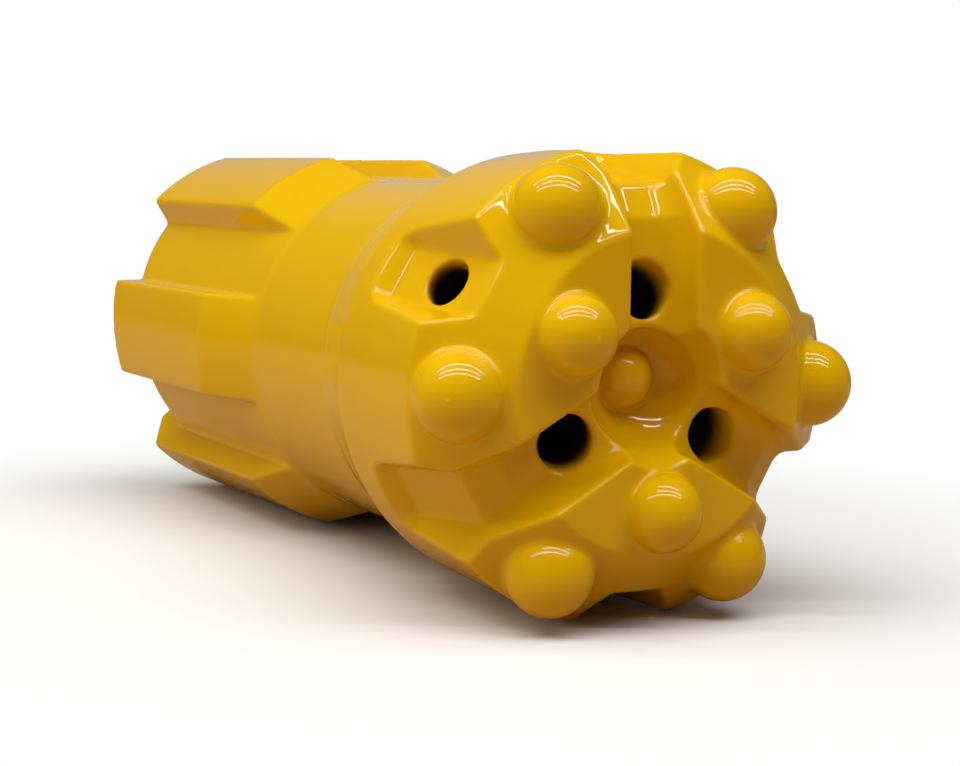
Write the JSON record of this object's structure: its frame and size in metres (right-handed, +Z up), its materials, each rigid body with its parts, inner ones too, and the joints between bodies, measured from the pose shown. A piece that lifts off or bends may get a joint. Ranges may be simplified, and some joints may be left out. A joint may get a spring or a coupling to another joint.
{
  "type": "threaded button drill bit",
  "caption": "Rock drill bit with domed buttons in a grooved face, a ribbed skirt with back-cutting teeth and a threaded socket, painted all over.",
  "frame": {"origin": "bottom centre of the bounding box of the bit lying on its head and the ribs of its skirt", "axes": "+X along the bit's axis from the socket to the face with the buttons, +Z up"},
  "size_m": [0.1692, 0.075, 0.0718],
  "materials": {
    "body_paint": "glossy yellow enamel",
    "button_paint": "glossy yellow enamel over polished domes"
  },
  "bodies": {
    "root": {"bit_body": "body_paint", "gauge_button_1": "button_paint", "gauge_button_2": "button_paint", "gauge_button_3": "button_paint", "gauge_button_4": "button_paint", "gauge_button_5": "button_paint", "gauge_button_6": "button_paint", "front_button_1": "button_paint", "front_button_2": "button_paint", "front_button_3": "button_paint", "centre_button": "button_paint"}
  },
  "joints": []
}
